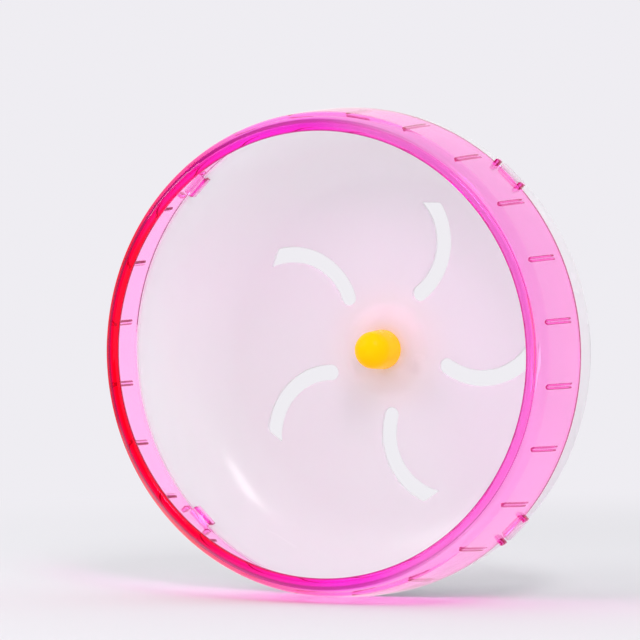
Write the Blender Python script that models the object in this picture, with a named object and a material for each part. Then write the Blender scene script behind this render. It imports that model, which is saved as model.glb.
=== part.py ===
"""Hamster wheel: a clear ring and a milky dish that spin on two ball bearings round a fixed axle.

Metres, +Z up. The wheel's axis is the Y axis, and its open front faces -Y. The origin is the middle
of the mounting plate's flat rear face, and every place along the axis is counted forward from there.
"""
import bmesh
import bpy
from math import acos, atan2, cos, pi, radians, sin, sqrt
from mathutils import Matrix, Vector

# Gaps between pieces
SEAT_GAP = 0.0003        # between faces that rest on each other
ROUND_GAP = 0.00015      # round a shaft in its bore
BALL_PLAY = 0.00018      # round each ball
RUNNING_GAP = 0.0008     # between pieces that turn past each other
OVERRUN = 0.001          # how far a cutter reaches past what it cuts, and a joined shape into its carrier
MERGE_DISTANCE = 1e-7    # points closer than this are one

# Track ring
SEAM_RADIUS = 0.105      # outside of the ring where it meets the dish
SHOULDER_STEP = 0.0023   # how far the end of the rounded shoulder stands inside the seam
RING_DEPTH = 0.0374      # seam to the front of the lip
RING_WALL = 0.0024
SHOULDER_ARC = 0.0079
LIP_STEP = 0.0057        # how far the middle of the rounded lip stands inside the shoulder's end
LIP_ROUND = 0.0025       # section radius of the lip
SHOULDER_START = radians(-58)  # where the shoulder's arc leaves the lip, from the outward direction
WALL_CURVE_POWER = 1.3   # above 1 the wall bulges between shoulder and seam
RIB_COUNT = 24
RIB_WIDTH = 0.0021
RIB_HEIGHT = 0.001
RIB_REAR_MARGIN = 0.0033  # rib's rear end to the seam

# Snap clips between ring and dish
CLIP_COUNT = 4
TONGUE_WIDTH = 0.0106
TONGUE_THICKNESS = 0.0017
TONGUE_REACH = 0.0076    # past the seam
TONGUE_ROOT = 0.0036     # length of the ramp on the ring's wall
HOOK_LENGTH = 0.005
HOOK_HEIGHT = 0.0011
PEG_WIDTH = 0.002
PEG_HEIGHT = 0.0022
PEG_LENGTH = 0.0045
PEG_MARGIN = 0.0004      # peg's rear end to the seam
FINGER_WIDTH = 0.0116    # the catch's finger between two pegs
FINGER_REACH = 0.0055    # ahead of the seam
CATCH_THICKNESS = 0.0016
CATCH_MARGIN = 0.0018    # catch behind the end of its hook pocket

# Dish
DISH_DEPTH = 0.0422      # seam to the flat back
DISH_WALL = 0.002
DISH_STEP = 0.0004       # how far the dish's wall stands inside the ring's
DISH_CORNER = 0.035      # outer radius of the rounded corner
SLOT_COUNT = 5
SLOT_WIDTH = 0.0068
SLOT_INNER_RADIUS = 0.0292   # axis to the middle of a slot's inner round end
SLOT_OUTER_RADIUS = 0.0664   # axis to the outer end of a slot's middle line
SLOT_BULGE = 0.0074      # height of a slot's arc over its chord
SLOT_INNER_ANGLE = radians(57)
SLOT_OUTER_ANGLE = radians(69.5)
SLOT_END_SKEW = radians(11)  # how much further the inner edge runs round a slot's arc
SLOT_END_ROUND = 0.0012      # how far from a corner of the outer end its rounding starts
BOSS_HEIGHT = 0.0045     # raised middle, on the animal's side
BOSS_FOOT_RADIUS = 0.022
BOSS_TOP_RADIUS = 0.0104
BOSS_FLOOR = 0.002       # what holds the front bearing
BOSS_HOLE_RADIUS = 0.0074
RECESS_DEPTH = 0.0032    # hollow behind the raised middle, from the flat back
RECESS_RADIUS = 0.021
RECESS_FLOOR_RADIUS = 0.0145

# Ball bearings
BORE_RADIUS = 0.003
BEARING_RADIUS = 0.0095
BEARING_WIDTH = 0.006
BALL_COUNT = 7
BALL_RADIUS = 0.00175
PITCH_RADIUS = 0.00625
INNER_LAND_RADIUS = 0.00515
OUTER_LAND_RADIUS = 0.00735
SHIELD_THICKNESS = 0.0004
SHIELD_INSET = 0.00015   # shield's face behind the race's face
SHIELD_SEAT = 0.00045    # depth of the shield's seat into the outer land
SHIELD_INNER_RADIUS = 0.0054
CAGE_THICKNESS = 0.0014
CAGE_WIDTH = 0.0045
BEARING_SPREAD = 0.003   # length of the two spacers
SPACER_WALL = 0.0014

# Hub behind the dish
HOUSING_WALL = 0.0026
PILLAR_RADIUS = 0.0029
PILLAR_PITCH_RADIUS = 0.0142
PILLAR_ROOT = 0.0003     # pillar's foot in the floor of the hollow
COVER_THICKNESS = 0.0018
COVER_RADIUS = 0.0176
SCREW_COUNT = 3
SCREW_RADIUS = 0.00115
SCREW_LENGTH = 0.0078
SCREW_HEAD_RADIUS = 0.0024
SCREW_HEAD_HEIGHT = 0.0015
SCREW_RECESS_WIDTH = 0.0006
SCREW_RECESS_LENGTH = 0.0026
SCREW_RECESS_DEPTH = 0.0008

# Axle, nut and washer
COLLAR_RADIUS = 0.0044
COLLAR_LENGTH = 0.0022
AXLE_CHAMFER = 0.0005
AXLE_OVERHANG = 0.002    # axle's end past the nut
WASHER_RADIUS = 0.0052
WASHER_THICKNESS = 0.001
NUT_ACROSS_FLATS = 0.01
NUT_HEIGHT = 0.0036
NUT_COLLAR_RADIUS = 0.0045
NUT_COLLAR_HEIGHT = 0.0014

# Yellow cap
CAP_BASE_RADIUS = 0.0089
CAP_DOME_RADIUS = 0.0085
CAP_SKIRT_LENGTH = 0.0103   # base to the start of the dome
CAP_WALL = 0.002
CAP_SPIGOT_LENGTH = 0.0016
CAP_SPIGOT_WALL = 0.0009

# Mounting plate
PLATE_RADIUS = 0.015
PLATE_THICKNESS = 0.0035
PLATE_EDGE_ROUND = 0.0008
SOCKET_RADIUS = 0.0065
SOCKET_LENGTH = 0.007
SOCKET_FLOOR = 0.0018
PILOT_COUNT = 3
PILOT_PITCH_RADIUS = 0.0107
PILOT_RADIUS = 0.0013
PILOT_DEPTH = 0.006
PILOT_BOSS_RADIUS = 0.003
PILOT_BOSS_HEIGHT = 0.004
PIN_RADIUS = 0.001

# Counts of facets
WHEEL_FACETS = 60
HUB_FACETS = 36
BEARING_FACETS = 24
SMALL_FACETS = 12
BALL_STEPS = 2
ARC_STEPS = 6
SHORT_ARC_STEPS = 4

# Places along the axis, from the mounting plate forward
plate_front = -PLATE_THICKNESS
socket_front = plate_front - SOCKET_LENGTH
collar_rear = socket_front
collar_front = collar_rear - SEAT_GAP - COLLAR_LENGTH
rear_bearing_y = collar_front - SEAT_GAP - BEARING_WIDTH / 2
front_bearing_y = rear_bearing_y - BEARING_WIDTH - BEARING_SPREAD - 2 * SEAT_GAP
housing_rear = rear_bearing_y + BEARING_WIDTH / 2
cover_front = housing_rear + SEAT_GAP
cover_rear = cover_front + COVER_THICKNESS
boss_floor_rear = front_bearing_y - BEARING_WIDTH / 2 - SEAT_GAP
boss_front = boss_floor_rear - BOSS_FLOOR
dish_inside = boss_front + BOSS_HEIGHT
dish_back = dish_inside + DISH_WALL
recess_floor = dish_back - RECESS_DEPTH
seam = dish_back - DISH_DEPTH
lip_front = seam - RING_DEPTH
shoulder_end = lip_front + SHOULDER_ARC
washer_rear = boss_floor_rear
nut_rear = washer_rear - WASHER_THICKNESS - SEAT_GAP
nut_front = nut_rear - NUT_HEIGHT - NUT_COLLAR_HEIGHT
cap_base = boss_front - SEAT_GAP
dome_start = cap_base - CAP_SKIRT_LENGTH

# Sizes that follow from the ones above
shoulder_radius = SEAM_RADIUS - SHOULDER_STEP
lip_radius = shoulder_radius - LIP_STEP
axle_radius = BORE_RADIUS - ROUND_GAP
pin_hole_radius = PIN_RADIUS + ROUND_GAP
dish_radius = SEAM_RADIUS - DISH_STEP
bearing_seat_radius = BEARING_RADIUS + ROUND_GAP
housing_radius = bearing_seat_radius + HOUSING_WALL
cover_hole_radius = COLLAR_RADIUS + RUNNING_GAP
groove_radius = BALL_RADIUS + BALL_PLAY
shield_seat_radius = OUTER_LAND_RADIUS + SHIELD_SEAT
shield_start = BEARING_WIDTH / 2 - SHIELD_INSET - SHIELD_THICKNESS
screw_seat = cover_rear + SEAT_GAP
screw_tip = screw_seat - SCREW_LENGTH
axle_tip = nut_front - AXLE_OVERHANG
socket_floor = -SOCKET_FLOOR
pin_y = plate_front - SOCKET_LENGTH / 2


def clear_scene():
    for old in list(bpy.data.objects):
        bpy.data.objects.remove(old, do_unlink=True)


def material(name, color, roughness, metallic=0.0, transmission=0.0):
    made = bpy.data.materials.new(name)
    made.use_nodes = True
    shader = made.node_tree.nodes["Principled BSDF"]
    shader.inputs["Base Color"].default_value = (*color, 1.0)
    shader.inputs["Roughness"].default_value = roughness
    shader.inputs["Metallic"].default_value = metallic
    shader.inputs["Transmission Weight"].default_value = transmission
    made.diffuse_color = (*color, 1.0)
    return made


def add_object(name, mesh, finish, parent, place=(0, 0, 0)):
    made = bpy.data.objects.new(name, mesh)
    bpy.context.scene.collection.objects.link(made)
    if finish and not mesh.materials:
        mesh.materials.append(finish)
    made.parent = parent
    made.location = place
    return made


def add_axis(name, y=0.0):
    """An empty on the wheel's axis, which carries the pieces of one body."""
    made = bpy.data.objects.new(name, None)
    bpy.context.scene.collection.objects.link(made)
    made.location.y = y
    return made


def finished_mesh(name, shape):
    bmesh.ops.recalc_face_normals(shape, faces=shape.faces)
    mesh = bpy.data.meshes.new(name)
    shape.to_mesh(mesh)
    shape.free()
    mesh.shade_smooth()
    mesh.set_sharp_from_angle(angle=radians(32))
    return mesh


def turned_shape(outline, facets, closed=True):
    """An outline of (radius, y) points, spun round the Y axis."""
    shape = bmesh.new()
    points = [shape.verts.new((radius, y, 0)) for radius, y in outline]
    edges = [shape.edges.new(pair) for pair in zip(points, points[1:])]
    if closed:
        edges.append(shape.edges.new((points[-1], points[0])))
    bmesh.ops.spin(shape, geom=points + edges, cent=(0, 0, 0), axis=(0, -1, 0), angle=2 * pi, steps=facets,
                   use_merge=True, use_duplicate=False)
    bmesh.ops.remove_doubles(shape, verts=shape.verts, dist=MERGE_DISTANCE)
    return shape


def turned(name, outline, facets, closed=True):
    return finished_mesh(name, turned_shape(outline, facets, closed))


def extruded(points, push):
    """A flat face through the points, pushed along a vector into a closed solid."""
    shape = bmesh.new()
    face = shape.faces.new([shape.verts.new(point) for point in points])
    pushed = bmesh.ops.extrude_face_region(shape, geom=[face])["geom"]
    moved = [item for item in pushed if isinstance(item, bmesh.types.BMVert)]
    bmesh.ops.translate(shape, verts=moved, vec=push)
    return shape


def face_prism(outline, start, end):
    """An outline of (x, z) points, extruded along the wheel's axis."""
    return extruded([(x, start, z) for x, z in outline], (0, end - start, 0))


def side_prism(outline, width, middle=0.0):
    """An outline of (x, y) points, extruded across the wheel."""
    return extruded([(x, y, middle - width / 2) for x, y in outline], (0, 0, width))


def box_prism(inner, outer, start, end, width, middle=0.0):
    return side_prism([(inner, start), (outer, start), (outer, end), (inner, end)], width, middle)


def rod(radius, start, end, x=0.0):
    ring = [(x + radius * cos(2 * pi * n / SMALL_FACETS), radius * sin(2 * pi * n / SMALL_FACETS))
            for n in range(SMALL_FACETS)]
    return face_prism(ring, start, end)


def rods(radius, start, end, x, angles):
    return [(rod(radius, start, end, x), angle) for angle in angles]


def radial_rod(radius, start, end, y=0.0):
    """A rod along the X axis."""
    shape = rod(radius, start, end)
    shape.transform(Matrix.Translation((0, y, 0)) @ Matrix.Rotation(-pi / 2, 4, "Z"))
    return shape


def gathered(name, parts):
    """One mesh from (shape, angle about the wheel's axis) pairs."""
    whole = bmesh.new()
    for shape, angle in parts:
        bmesh.ops.recalc_face_normals(shape, faces=shape.faces)
        shape.transform(Matrix.Rotation(-angle, 4, "Y"))
        spare = bpy.data.meshes.new(name)
        shape.to_mesh(spare)
        shape.free()
        whole.from_mesh(spare)
        bpy.data.meshes.remove(spare)
    return finished_mesh(name, whole)


def combine(target, mesh, operation):
    """Joins a mesh to the target, or cuts it from it, with a Boolean modifier that stays on the target."""
    tool = add_object(mesh.name, mesh, None, target.parent, target.location)
    tool.hide_render = True
    tool.display_type = "WIRE"
    change = target.modifiers.new(mesh.name, "BOOLEAN")
    change.operation = operation
    change.solver = "EXACT"
    change.object = tool


def arc(middle_radius, middle_y, size, first, last, steps=ARC_STEPS):
    """Points of (radius, y) on an arc: angle 0 points away from the axis, 90 degrees points rearward."""
    return [(middle_radius + size * cos(first + (last - first) * n / steps),
             middle_y + size * sin(first + (last - first) * n / steps)) for n in range(steps + 1)]


def spread_angles(count, first=0.0):
    return [first + 2 * pi * n / count for n in range(count)]


rib_angles = spread_angles(RIB_COUNT, pi / RIB_COUNT)
clip_angles = spread_angles(CLIP_COUNT, pi / CLIP_COUNT)
screw_angles = spread_angles(SCREW_COUNT, pi / 2)


# Track ring

def ring_wall(inset, shares):
    """Points on the ring's wall, from the shoulder (share 0) to the seam (share 1)."""
    return [(SEAM_RADIUS - inset - SHOULDER_STEP * (1 - share) ** WALL_CURVE_POWER,
             shoulder_end + share * (seam - shoulder_end)) for share in shares]


def track_ring(finish, wheel):
    wall_shares = [0, 1 / 3, 2 / 3, 1]
    lip = arc(lip_radius, lip_front + LIP_ROUND, LIP_ROUND, pi / 2, 3 * pi / 2)
    shoulder = arc(shoulder_radius - SHOULDER_ARC, shoulder_end, SHOULDER_ARC, SHOULDER_START, 0,
                   SHORT_ARC_STEPS)
    outline = lip + shoulder + ring_wall(0, wall_shares[1:]) + ring_wall(RING_WALL, wall_shares[::-1])
    ring = add_object("track_ring", turned("track_ring", outline, WHEEL_FACETS), finish, wheel)
    combine(ring, gathered("ribs", [(rib(), angle) for angle in rib_angles]), "UNION")
    combine(ring, gathered("tongues", [(tongue(), angle) for angle in clip_angles]), "UNION")
    pegs = [(peg(side), angle) for angle in clip_angles for side in (-1, 1)]
    combine(ring, gathered("pegs", pegs), "UNION")


def rib():
    rear_share = 1 - RIB_REAR_MARGIN / (seam - shoulder_end)
    shares = [rear_share * n / SHORT_ARC_STEPS for n in range(SHORT_ARC_STEPS + 1)]
    foot = ring_wall(RING_WALL - OVERRUN, shares)
    top = ring_wall(RING_WALL + RIB_HEIGHT, shares)
    return side_prism(foot + top[::-1], RIB_WIDTH)


def tongue_face():
    """Distance from the axis to a tongue's flat outer face, whose corners still clear the dish's inside."""
    inside = (dish_radius - DISH_WALL) * cos(pi / WHEEL_FACETS) - SEAT_GAP
    return sqrt(inside ** 2 - (TONGUE_WIDTH / 2) ** 2)


def tongue():
    """A snap tongue: a ramp on the ring's wall carries it, and its hook slopes down to its tip."""
    outer = tongue_face()
    inner = outer - TONGUE_THICKNESS
    wall = SEAM_RADIUS - RING_WALL
    root_front = seam - TONGUE_ROOT
    root_rear = seam - SEAT_GAP
    tip = seam + TONGUE_REACH
    hook_front = tip - HOOK_LENGTH
    return side_prism([(wall, root_front), (wall + OVERRUN, root_front), (wall + OVERRUN, root_rear),
                       (outer, root_rear), (outer, hook_front), (outer + HOOK_HEIGHT, hook_front),
                       (outer, tip), (inner, tip), (inner, seam)], TONGUE_WIDTH)


def peg(side):
    middle = side * (FINGER_WIDTH / 2 + SEAT_GAP + PEG_WIDTH / 2)
    front = seam - PEG_MARGIN - PEG_LENGTH
    return box_prism(SEAM_RADIUS - OVERRUN, SEAM_RADIUS + PEG_HEIGHT, front, front + PEG_LENGTH, PEG_WIDTH,
                     middle)


# Dish

def dish(finish, wheel):
    rim = seam + SEAT_GAP
    corner_radius = dish_radius - DISH_CORNER
    corner_y = dish_back - DISH_CORNER
    outside = [(dish_radius, rim)] + arc(corner_radius, corner_y, DISH_CORNER, 0, pi / 2)
    inside = arc(corner_radius, corner_y, DISH_CORNER - DISH_WALL, pi / 2, 0)
    inside += [(dish_radius - DISH_WALL, rim)]
    housing = [(RECESS_RADIUS, dish_back), (RECESS_FLOOR_RADIUS, recess_floor),
               (housing_radius, recess_floor), (housing_radius, housing_rear),
               (bearing_seat_radius, housing_rear), (bearing_seat_radius, boss_floor_rear),
               (BOSS_HOLE_RADIUS, boss_floor_rear), (BOSS_HOLE_RADIUS, boss_front)]
    outline = outside + housing + boss_slope() + inside
    bowl = add_object("dish", turned("dish", outline, WHEEL_FACETS), finish, wheel)
    pillar_foot = recess_floor - PILLAR_ROOT
    pillars = rods(PILLAR_RADIUS, pillar_foot, housing_rear, PILLAR_PITCH_RADIUS, screw_angles)
    combine(bowl, gathered("pillars", pillars), "UNION")
    combine(bowl, gathered("catches", [(catch(), angle) for angle in clip_angles]), "UNION")
    combine(bowl, gathered("hook_pockets", [(hook_pocket(), angle) for angle in clip_angles]), "DIFFERENCE")
    combine(bowl, gathered("slots", [(slot(), angle) for angle in spread_angles(SLOT_COUNT)]), "DIFFERENCE")
    holes = rods(SCREW_RADIUS + ROUND_GAP, screw_tip - SEAT_GAP, housing_rear + OVERRUN, PILLAR_PITCH_RADIUS,
                 screw_angles)
    combine(bowl, gathered("screw_holes", holes), "DIFFERENCE")


def boss_slope():
    """The raised middle's smooth slope, from its flat top to its foot."""
    steps = ARC_STEPS
    return [(BOSS_TOP_RADIUS + (BOSS_FOOT_RADIUS - BOSS_TOP_RADIUS) * n / steps,
             boss_front + BOSS_HEIGHT * (1 - cos(pi * n / steps)) / 2) for n in range(steps + 1)]


def catch():
    """A catch on the dish's rim, with a finger that reaches over the ring between two pegs."""
    under = SEAM_RADIUS + SEAT_GAP
    top = under + CATCH_THICKNESS
    foot = dish_radius - DISH_WALL + OVERRUN
    front = seam - FINGER_REACH
    rim = seam + SEAT_GAP
    rear = seam + TONGUE_REACH + SEAT_GAP + CATCH_MARGIN
    return side_prism([(under, front), (top, front), (top, rear), (foot, rear), (foot, rim), (under, rim)],
                      FINGER_WIDTH)


def hook_pocket():
    rear = seam + TONGUE_REACH + SEAT_GAP
    front = rear - HOOK_LENGTH - 2 * SEAT_GAP
    inner = dish_radius - DISH_WALL - OVERRUN
    return box_prism(inner, tongue_face() + HOOK_HEIGHT + SEAT_GAP, front, rear, TONGUE_WIDTH + 2 * SEAT_GAP)


def slot():
    """A curved slot: a band along an arc, with a round inner end and a slanted outer end."""
    start = Vector((SLOT_INNER_RADIUS * cos(SLOT_INNER_ANGLE), SLOT_INNER_RADIUS * sin(SLOT_INNER_ANGLE)))
    end = Vector((SLOT_OUTER_RADIUS * cos(SLOT_OUTER_ANGLE), SLOT_OUTER_RADIUS * sin(SLOT_OUTER_ANGLE)))
    chord = end - start
    radius = (chord.length_squared / 4 + SLOT_BULGE ** 2) / (2 * SLOT_BULGE)
    toward_middle = Vector((-chord.y, chord.x)).normalized()
    middle = (start + end) / 2 + toward_middle * (radius - SLOT_BULGE)
    first = atan2(start.y - middle.y, start.x - middle.x)
    last = atan2(end.y - middle.y, end.x - middle.x)
    half = SLOT_WIDTH / 2
    convex = flat_arc(middle, radius + half, first, last, 2 * ARC_STEPS)
    concave = flat_arc(middle, radius - half, last + SLOT_END_SKEW, first, 2 * ARC_STEPS)
    outline = convex[:-1] + rounded_corner(convex[-2], convex[-1], concave[0])
    outline += rounded_corner(convex[-1], concave[0], concave[1]) + concave[1:]
    outline += flat_arc(start, half, first + pi, first + 2 * pi, ARC_STEPS)[1:-1]
    return face_prism(outline, dish_back - DISH_CORNER, dish_back + OVERRUN)


def rounded_corner(before, corner, after):
    """Points that round off one corner of a slot's outline."""
    before, corner, after = Vector(before), Vector(corner), Vector(after)
    enter = corner + (before - corner).normalized() * SLOT_END_ROUND
    leave = corner + (after - corner).normalized() * SLOT_END_ROUND
    shares = [n / SHORT_ARC_STEPS for n in range(SHORT_ARC_STEPS + 1)]
    return [enter.lerp(corner, share).lerp(corner.lerp(leave, share), share) for share in shares]


def flat_arc(middle, size, first, last, steps):
    return [(middle.x + size * cos(first + (last - first) * n / steps),
             middle.y + size * sin(first + (last - first) * n / steps)) for n in range(steps + 1)]


# Ball bearings

def groove(land_radius, outward):
    """A race's ball groove, cut into its land on the ball's side."""
    reach = acos(abs(land_radius - PITCH_RADIUS) / groove_radius)
    middle = 0 if outward else pi
    return arc(PITCH_RADIUS, 0, groove_radius, middle - reach, middle + reach, SHORT_ARC_STEPS)


def bearing(name, y, wheel, fixed, steel, brass, shield_steel):
    place = (0, y, 0)
    outer = turned(name + "_outer_race", outer_race_outline(), BEARING_FACETS)
    add_object(name + "_bearing_outer_race", outer, steel, wheel, place)
    inner = turned(name + "_inner_race", inner_race_outline(), BEARING_FACETS)
    add_object(name + "_bearing_inner_race", inner, steel, fixed, place)
    disc = washer_outline(SHIELD_INNER_RADIUS, shield_seat_radius - ROUND_GAP, shield_start,
                          shield_start + SHIELD_THICKNESS)
    shield = turned(name + "_shield", disc, BEARING_FACETS)
    add_object(name + "_bearing_rear_shield", shield, shield_steel, wheel, place)
    other = add_object(name + "_bearing_front_shield", shield, shield_steel, wheel, place)
    other.rotation_euler.z = pi
    ball_set(name, y, steel, brass)


def outer_race_outline():
    half = BEARING_WIDTH / 2
    seat = shield_start - ROUND_GAP
    front = [(shield_seat_radius, -half), (shield_seat_radius, -seat), (OUTER_LAND_RADIUS, -seat)]
    rear = [(OUTER_LAND_RADIUS, seat), (shield_seat_radius, seat), (shield_seat_radius, half)]
    return front + groove(OUTER_LAND_RADIUS, True) + rear + [(BEARING_RADIUS, half), (BEARING_RADIUS, -half)]


def inner_race_outline():
    half = BEARING_WIDTH / 2
    bore = [(BORE_RADIUS, -half), (BORE_RADIUS, half)]
    front = [(INNER_LAND_RADIUS, -half)]
    rear = [(INNER_LAND_RADIUS, half)]
    return groove(INNER_LAND_RADIUS, False) + front + bore + rear


def ball_set(name, y, steel, brass):
    axis = add_axis(name + "_ball_cage_axis", y)
    half = CAGE_WIDTH / 2
    band = washer_outline(PITCH_RADIUS - CAGE_THICKNESS / 2, PITCH_RADIUS + CAGE_THICKNESS / 2, -half, half)
    cage = add_object(name + "_ball_cage", turned(name + "_cage", band, BEARING_FACETS), brass, axis)
    inner = PITCH_RADIUS - CAGE_THICKNESS
    outer = PITCH_RADIUS + CAGE_THICKNESS
    pocket_radius = BALL_RADIUS + ROUND_GAP
    pockets = [(radial_rod(pocket_radius, inner, outer), angle) for angle in spread_angles(BALL_COUNT)]
    combine(cage, gathered(name + "_pockets", pockets), "DIFFERENCE")
    shape = bmesh.new()
    bmesh.ops.create_icosphere(shape, subdivisions=BALL_STEPS, radius=BALL_RADIUS)
    ball = finished_mesh(name + "_ball", shape)
    for number, angle in enumerate(spread_angles(BALL_COUNT), 1):
        place = (PITCH_RADIUS * cos(angle), 0, PITCH_RADIUS * sin(angle))
        add_object(f"{name}_ball_{number}", ball, steel, axis, place)


def washer_outline(inner, outer, start, end):
    return [(inner, start), (outer, start), (outer, end), (inner, end)]


def spacers(wheel, fixed, steel):
    middle = (front_bearing_y + rear_bearing_y) / 2
    half = BEARING_SPREAD / 2
    inner = washer_outline(BORE_RADIUS, BORE_RADIUS + SPACER_WALL, -half, half)
    outer = washer_outline(BEARING_RADIUS - SPACER_WALL, BEARING_RADIUS, -half, half)
    add_object("inner_spacer", turned("inner_spacer", inner, BEARING_FACETS), steel, fixed, (0, middle, 0))
    add_object("outer_spacer", turned("outer_spacer", outer, BEARING_FACETS), steel, wheel, (0, middle, 0))


# Hub cover and its screws

def hub_rear_cover(finish, wheel):
    disc = washer_outline(cover_hole_radius, COVER_RADIUS, cover_front, cover_rear)
    cover = add_object("hub_rear_cover", turned("hub_rear_cover", disc, HUB_FACETS), finish, wheel)
    holes = rods(SCREW_RADIUS + 2 * ROUND_GAP, cover_front - OVERRUN, cover_rear + OVERRUN,
                 PILLAR_PITCH_RADIUS, screw_angles)
    combine(cover, gathered("cover_holes", holes), "DIFFERENCE")


def cover_screws(finish, wheel):
    head_rear = screw_seat + SCREW_HEAD_HEIGHT
    outline = [(0, screw_tip), (SCREW_RADIUS - ROUND_GAP, screw_tip),
               (SCREW_RADIUS, screw_tip + SCREW_RADIUS), (SCREW_RADIUS, screw_seat),
               (SCREW_HEAD_RADIUS, screw_seat),
               (SCREW_HEAD_RADIUS, head_rear - SCREW_HEAD_HEIGHT / 2),
               (SCREW_HEAD_RADIUS - SCREW_HEAD_HEIGHT / 2, head_rear), (0, head_rear)]
    screw = turned("cover_screw", outline, SMALL_FACETS, closed=False)
    for number, angle in enumerate(screw_angles, 1):
        place = (PILLAR_PITCH_RADIUS * cos(angle), 0, PILLAR_PITCH_RADIUS * sin(angle))
        made = add_object(f"cover_screw_{number}", screw, finish, wheel, place)
        combine(made, gathered(f"screw_recess_{number}", [(cross_recess(), 0)]), "DIFFERENCE")


def cross_recess():
    rear = screw_seat + SCREW_HEAD_HEIGHT
    reach = SCREW_RECESS_LENGTH / 2
    half = SCREW_RECESS_WIDTH / 2
    arm = [Vector((reach, -half)), Vector((reach, half)), Vector((half, half))]
    outline = [Matrix.Rotation(turn, 2) @ corner for turn in spread_angles(4) for corner in arm]
    return face_prism(outline, rear - SCREW_RECESS_DEPTH, rear + OVERRUN)


# Fixed axle and what holds the wheel on it

def axle(finish, fixed):
    rear = socket_floor - SEAT_GAP
    collar_end = collar_front + COLLAR_LENGTH
    outline = [(0, axle_tip), (axle_radius - AXLE_CHAMFER, axle_tip), (axle_radius, axle_tip + AXLE_CHAMFER),
               (axle_radius, collar_front), (COLLAR_RADIUS, collar_front), (COLLAR_RADIUS, collar_end),
               (axle_radius, collar_end), (axle_radius, rear), (0, rear)]
    stud = add_object("axle", turned("axle", outline, BEARING_FACETS, closed=False), finish, fixed)
    hole = radial_rod(pin_hole_radius, -COLLAR_RADIUS, COLLAR_RADIUS, pin_y)
    combine(stud, gathered("axle_pin_hole", [(hole, 0)]), "DIFFERENCE")


def front_washer(finish, fixed):
    disc = washer_outline(BORE_RADIUS, WASHER_RADIUS, washer_rear - WASHER_THICKNESS, washer_rear)
    add_object("front_washer", turned("front_washer", disc, BEARING_FACETS), finish, fixed)


def lock_nut(finish, fixed):
    corner = NUT_ACROSS_FLATS / 2 / cos(pi / 6)
    hexagon = [(corner * cos(angle), corner * sin(angle)) for angle in spread_angles(6)]
    hex_front = nut_rear - NUT_HEIGHT
    shape = face_prism(hexagon, hex_front, nut_rear)
    nut = add_object("lock_nut", gathered("lock_nut", [(shape, 0)]), finish, fixed)
    collar = washer_outline(BORE_RADIUS - ROUND_GAP, NUT_COLLAR_RADIUS, nut_front, hex_front + OVERRUN)
    combine(nut, turned("nut_collar", collar, BEARING_FACETS), "UNION")
    bore = [(0, nut_front - OVERRUN), (BORE_RADIUS, nut_front - OVERRUN), (BORE_RADIUS, nut_rear + OVERRUN),
            (0, nut_rear + OVERRUN)]
    combine(nut, turned("nut_bore", bore, BEARING_FACETS, closed=False), "DIFFERENCE")


def hub_cap(finish, wheel):
    """The domed cap over the nut: a hollow shell with a spigot that grips the hole in the raised middle."""
    spigot_end = cap_base + CAP_SPIGOT_LENGTH
    spigot_radius = BOSS_HOLE_RADIUS - ROUND_GAP
    inner = CAP_DOME_RADIUS - CAP_WALL
    outline = arc(0, dome_start, CAP_DOME_RADIUS, -pi / 2, 0)
    outline += [(CAP_BASE_RADIUS, cap_base), (spigot_radius, cap_base), (spigot_radius, spigot_end),
                (spigot_radius - CAP_SPIGOT_WALL, spigot_end)]
    outline += arc(0, dome_start, inner, 0, -pi / 2)
    add_object("hub_cap", turned("hub_cap", outline, HUB_FACETS, closed=False), finish, wheel)


def mounting_plate(finish, fixed):
    bore = axle_radius + ROUND_GAP
    edge = PLATE_RADIUS - PLATE_EDGE_ROUND
    disc = [(0, 0), (edge, 0), (PLATE_RADIUS, -PLATE_EDGE_ROUND),
            (PLATE_RADIUS, plate_front + PLATE_EDGE_ROUND), (edge, plate_front)]
    socket = [(SOCKET_RADIUS, plate_front), (SOCKET_RADIUS, socket_front), (bore, socket_front),
              (bore, socket_floor), (0, socket_floor)]
    shape = turned("mounting_plate", disc + socket, HUB_FACETS, closed=False)
    plate = add_object("mounting_plate", shape, finish, fixed)
    angles = spread_angles(PILOT_COUNT, pi / 2)
    boss_front_face = plate_front - PILOT_BOSS_HEIGHT
    bosses = rods(PILOT_BOSS_RADIUS, boss_front_face, plate_front + OVERRUN, PILOT_PITCH_RADIUS, angles)
    combine(plate, gathered("pilot_bosses", bosses), "UNION")
    holes = rods(PILOT_RADIUS, -PILOT_DEPTH, OVERRUN, PILOT_PITCH_RADIUS, angles)
    combine(plate, gathered("pilot_holes", holes), "DIFFERENCE")
    hole = radial_rod(pin_hole_radius, -SOCKET_RADIUS - OVERRUN, SOCKET_RADIUS + OVERRUN, pin_y)
    combine(plate, gathered("socket_pin_hole", [(hole, 0)]), "DIFFERENCE")


def axle_pin(finish, fixed):
    reach = SOCKET_RADIUS - SEAT_GAP
    pin = gathered("axle_pin", [(radial_rod(PIN_RADIUS, -reach, reach, pin_y), 0)])
    add_object("axle_pin", pin, finish, fixed)


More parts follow.
